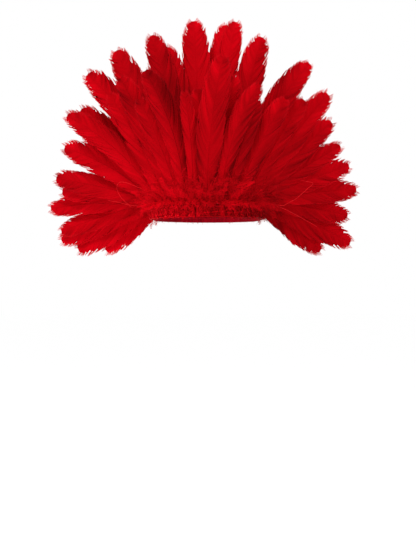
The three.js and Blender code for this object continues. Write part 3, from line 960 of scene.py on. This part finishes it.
def lint(rng):
    """Short curly hairs all over the tape; returns parts."""
    turns = rng.uniform(TAPE_SLIT_TURN + 1, TAPE_SLIT_TURN + 359, LINT)
    level = TAPE_LOW + TAPE_HEIGHT * (1.02 - 0.9 * rng.uniform(0, 1, LINT) ** 2)
    begin = ring_point(turns, POCKET_OUT + TAPE_THICKNESS + 1, level)
    outward = unit(begin * [1, 1, 0])
    way = unit(outward * 0.5 + rng.normal(size=(LINT, 3)))
    t = np.linspace(0, 1, 5)[None, :, None]
    bend = rng.normal(0, 0.6, (LINT, 3))
    length = rng.uniform(*LINT_LENGTH, (LINT, 1, 1))
    points = begin[:, None] + length * (way[:, None] * t + bend[:, None] * t ** 2)
    tone = LINT_TONE + tape_tone_and_shade(turns) + 0.2 * rng.normal(size=LINT)
    return fuzz(points, rng, LINT_WIDTH, LINT_BARBULE, LINT_BARBULES, tone, LINT_EDGE)


def tape_mesh(rng):
    """The quill tape: gathered cloth, bound with thread over every quill, with tufts and lint."""
    parts = tape_cloth(rng)
    for spot in range(len(FEATHERS)):
        parts += quill_binding((spot - 23) * QUILL_STEP, rng)
    parts += edge_thread() + tufts(rng) + lint(rng)
    return make_mesh("quill_tape_cloth", parts)


def ribbon_ring(rng):
    """The head ring as a folded ribbon with a soft roll at both edges and a line of stitches."""
    turn = np.arange(RIBBON_COLUMNS) * 360 / RIBBON_COLUMNS
    v = np.linspace(0, 1, RIBBON_ROWS)
    z = BAND_HEIGHT * v
    roll = 0.25 * (np.exp(-((v - 0.05) / 0.05) ** 2) + np.exp(-((v - 0.95) / 0.05) ** 2))
    around = np.radians(turn)[:, None]
    ripple = 0.06 * np.sin(around * 90) + 0.05 * np.sin(around * 31 + 9 * v)
    inside = ring_point(turn[:, None], 0.3 - roll[None, :] + ripple, z[None, :])
    outside = ring_point(turn[:, None], BAND_THICKNESS - 0.2, z[None, ::-1])
    loop = np.concatenate([inside, outside], 1)
    n, m = loop.shape[:2]
    i = np.arange(n)[:, None] * m
    j = (np.arange(n)[:, None] + 1) % n * m
    k = np.arange(m)[None, :]
    quads = np.stack([i + k, i + (k + 1) % m, j + (k + 1) % m, j + k], -1).reshape(-1, 4)
    tone = np.broadcast_to(0.4 + 0.1 * rng.normal(size=(n, 1)), (n, m))
    parts = [(loop.reshape(-1, 3), quads, tone, np.zeros(n * m))]
    t = np.linspace(0, 1, 5)
    depth = 0.12 - 0.28 * np.sin(np.pi * t)
    for level in STITCH_LEVELS:
        for spot in range(360 // STITCH_STEP):
            path = ring_point(spot * STITCH_STEP + STITCH_LENGTH * t, depth, BAND_HEIGHT * level)
            verts, faces = tube(path, STITCH_RADIUS, 4)
            parts.append((verts, faces, np.full(len(verts), 0.7), np.zeros(len(verts))))
    return make_mesh("head_ring_ribbon", parts)


def reds(name, dark, middle, light, through, rough, sheen, weave):
    """A dyed material: colour from the tone of each barb, fine grain, and painted light that makes thin
    edges lighter.
    """
    material = bpy.data.materials.new(name)
    material.use_nodes = True
    nodes = material.node_tree.nodes
    links = material.node_tree.links
    nodes.clear()
    output = nodes.new("ShaderNodeOutputMaterial")
    shader = nodes.new("ShaderNodeBsdfPrincipled")
    shader.inputs["Roughness"].default_value = rough
    shader.inputs["Specular IOR Level"].default_value = DYE_SPECULAR
    shader.inputs["Sheen Weight"].default_value = sheen
    shader.inputs["Sheen Roughness"].default_value = 0.5
    shader.inputs["Sheen Tint"].default_value = SHEEN_TINT
    tone = nodes.new("ShaderNodeAttribute")
    tone.attribute_name = "tone"
    edge = nodes.new("ShaderNodeAttribute")
    edge.attribute_name = "edge"
    where = nodes.new("ShaderNodeTexCoord")
    cloud = nodes.new("ShaderNodeTexNoise")
    cloud.inputs["Scale"].default_value = CLOUD_SCALE
    cloud.inputs["Detail"].default_value = 4
    links.new(where.outputs["Object"], cloud.inputs["Vector"])
    grain = nodes.new("ShaderNodeTexNoise")
    grain.inputs["Scale"].default_value = GRAIN_SCALE
    grain.inputs["Detail"].default_value = 2
    links.new(where.outputs["Object"], grain.inputs["Vector"])
    spread = nodes.new("ShaderNodeMath")
    spread.operation = "MULTIPLY_ADD"
    spread.inputs[1].default_value = CLOUD_TONE
    spread.inputs[2].default_value = -CLOUD_TONE / 2
    links.new(cloud.outputs["Fac"], spread.inputs[0])
    fine = nodes.new("ShaderNodeMath")
    fine.operation = "MULTIPLY_ADD"
    fine.inputs[1].default_value = GRAIN_TONE
    fine.inputs[2].default_value = -GRAIN_TONE / 2
    links.new(grain.outputs["Fac"], fine.inputs[0])
    total = nodes.new("ShaderNodeMath")
    links.new(tone.outputs["Fac"], total.inputs[0])
    links.new(spread.outputs[0], total.inputs[1])
    both = nodes.new("ShaderNodeMath")
    links.new(total.outputs[0], both.inputs[0])
    links.new(fine.outputs[0], both.inputs[1])
    ramp = nodes.new("ShaderNodeValToRGB")
    ramp.color_ramp.elements[0].position = 0.1
    ramp.color_ramp.elements[0].color = (*dark, 1)
    ramp.color_ramp.elements[1].position = 0.9
    ramp.color_ramp.elements[1].color = (*light, 1)
    centre = ramp.color_ramp.elements.new(0.5)
    centre.color = (*middle, 1)
    links.new(both.outputs[0], ramp.inputs["Fac"])
    # Painted light: the colour turns paler where the edge attribute marks thin barbs, hairs and strands
    pale = nodes.new("ShaderNodeMix")
    pale.data_type = "RGBA"
    pale.inputs[MIX_SECOND].default_value = THIN_EDGE_LIGHT_COLOUR
    amount = nodes.new("ShaderNodeMath")
    amount.operation = "MULTIPLY"
    amount.inputs[1].default_value = THIN_EDGE_LIGHT
    amount.use_clamp = True
    links.new(edge.outputs["Fac"], amount.inputs[0])
    links.new(amount.outputs[0], pale.inputs[0])
    links.new(ramp.outputs["Color"], pale.inputs[MIX_FIRST])
    links.new(pale.outputs[MIX_RESULT], shader.inputs["Base Color"])
    if weave:
        wave = nodes.new("ShaderNodeTexWave")
        wave.wave_type = "BANDS"
        wave.bands_direction = "Z"
        wave.inputs["Scale"].default_value = WEAVE_SCALE
        wave.inputs["Distortion"].default_value = 1.5
        wave.inputs["Detail"].default_value = 2
        links.new(where.outputs["Object"], wave.inputs["Vector"])
        height = wave.outputs["Fac"]
        strength = WEAVE_BUMP
    else:
        height = grain.outputs["Fac"]
        strength = GRAIN_BUMP
    bump = nodes.new("ShaderNodeBump")
    bump.inputs["Strength"].default_value = strength
    bump.inputs["Distance"].default_value = BUMP_DEPTH
    links.new(height, bump.inputs["Height"])
    links.new(bump.outputs["Normal"], shader.inputs["Normal"])
    if through > 0:
        glow = nodes.new("ShaderNodeBsdfTranslucent")
        links.new(pale.outputs[MIX_RESULT], glow.inputs["Color"])
        mix = nodes.new("ShaderNodeMixShader")
        thin = nodes.new("ShaderNodeMath")
        thin.operation = "MULTIPLY_ADD"
        thin.inputs[1].default_value = EDGE_THROUGH
        thin.inputs[2].default_value = through
        links.new(edge.outputs["Fac"], thin.inputs[0])
        links.new(thin.outputs[0], mix.inputs[0])
        links.new(shader.outputs[0], mix.inputs[1])
        links.new(glow.outputs[0], mix.inputs[2])
        links.new(mix.outputs[0], output.inputs["Surface"])
    else:
        links.new(shader.outputs[0], output.inputs["Surface"])
    return material


feather_red = reds(
    "dyed_feather", dark=(0.13, 0.0, 0.001), middle=(0.42, 0.0, 0.003), light=(0.68, 0.0, 0.006),
    through=0.15, rough=0.75, sheen=0.03, weave=False)
tape_red = reds(
    "dyed_tape", dark=(0.14, 0.0, 0.001), middle=(0.44, 0.0, 0.003), light=(0.72, 0.003, 0.01),
    through=0.0, rough=0.6, sheen=0.03, weave=False)
ribbon_red = reds(
    "woven_ribbon", dark=(0.14, 0.0, 0.003), middle=(0.28, 0.001, 0.006), light=(0.4, 0.002, 0.012),
    through=0.0, rough=0.7, sheen=0.1, weave=True)

for number, row in enumerate(FEATHERS, 1):
    rng = np.random.default_rng(SEED + number)
    line = Line(row)
    parts = vane(line, row, rng) + [shaft(line, row)] + down(line, row, rng) + afterfeathers(line, row, rng)
    parts += nest(line, row, np.random.default_rng(SEED + 1000 + number))
    parts += [filament(points) for owner, points in FILAMENTS if owner == number]
    piece = make_mesh(f"feather_plume_{number:02d}", parts)
    piece.data.materials.append(feather_red)
    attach(piece, "root")
    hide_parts(f"feather_{number:02d}")

tape = tape_mesh(np.random.default_rng(SEED))
tape.data.materials.append(tape_red)
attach(tape, "root")
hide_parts("quill_tape")

ring = ribbon_ring(np.random.default_rng(SEED + 500))
ring.data.materials.append(ribbon_red)
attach(ring, "root")
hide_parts("headband")


def floor(z, size):
    """A plain pale floor that glows a little, so that it comes near the white of the backdrop."""
    mesh = bpy.data.meshes.new("studio_floor")
    corners = [(-size, -size, z), (size, -size, z), (size, size, z), (-size, size, z)]
    mesh.from_pydata(corners, [], [(0, 1, 2, 3)])
    obj = bpy.data.objects.new("studio_floor", mesh)
    bpy.context.scene.collection.objects.link(obj)
    material = bpy.data.materials.new("pale_floor")
    material.use_nodes = True
    shader = material.node_tree.nodes["Principled BSDF"]
    shader.inputs["Roughness"].default_value = 0.9
    shader.inputs["Specular IOR Level"].default_value = 0.1
    shader.inputs["Base Color"].default_value = (0.93, 0.93, 0.93, 1)
    shader.inputs["Emission Color"].default_value = WHITE
    shader.inputs["Emission Strength"].default_value = FLOOR_GLOW
    mesh.materials.append(material)


def area(name, place, target, size, watts):
    """A soft round lamp that shines from place to target."""
    light = bpy.data.lights.new(name, "AREA")
    light.shape = "DISK"
    light.size = size
    light.energy = watts
    obj = bpy.data.objects.new(name, light)
    bpy.context.scene.collection.objects.link(obj)
    obj.location = place
    obj.rotation_euler = (Vector(target) - Vector(place)).to_track_quat("-Z", "Y").to_euler()


floor(FLOOR_HEIGHT, FLOOR_SIZE)
area("key", place=(-0.9, -1.9, 2.1), target=(0, 0, 0.12), size=0.8, watts=62)
area("fill", place=(1.7, -2.1, 1.0), target=(0, 0, 0.1), size=1.4, watts=16)
area("top", place=(0.2, 0.9, 2.2), target=(0, 0, 0.1), size=1.2, watts=12)

world = bpy.data.worlds.new("studio")
world.use_nodes = True
world_nodes = world.node_tree.nodes
backdrop = world_nodes["Background"]
backdrop.inputs["Color"].default_value = WHITE
backdrop.inputs["Strength"].default_value = 1.0
ambient = world_nodes.new("ShaderNodeBackground")
ambient.inputs["Color"].default_value = WHITE
ambient.inputs["Strength"].default_value = AMBIENT
rays = world_nodes.new("ShaderNodeLightPath")
choose = world_nodes.new("ShaderNodeMixShader")
world.node_tree.links.new(rays.outputs["Is Camera Ray"], choose.inputs[0])
world.node_tree.links.new(ambient.outputs[0], choose.inputs[1])
world.node_tree.links.new(backdrop.outputs[0], choose.inputs[2])
world.node_tree.links.new(choose.outputs[0], world_nodes["World Output"].inputs["Surface"])
bpy.context.scene.world = world
bpy.context.scene.view_settings.view_transform = "Standard"
bpy.context.scene.view_settings.look = "None"

camera_data = bpy.data.cameras.new("camera")
camera_data.lens = SENSOR * CAMERA_DISTANCE / (PICTURE_HEIGHT * MM_PER_PIXEL)
camera_data.sensor_width = SENSOR
camera_data.clip_end = 100
camera = bpy.data.objects.new("camera", camera_data)
bpy.context.scene.collection.objects.link(camera)
camera.location = CAMERA_PLACE
camera.rotation_euler = (math.pi / 2, 0, 0)
bpy.context.scene.camera = camera
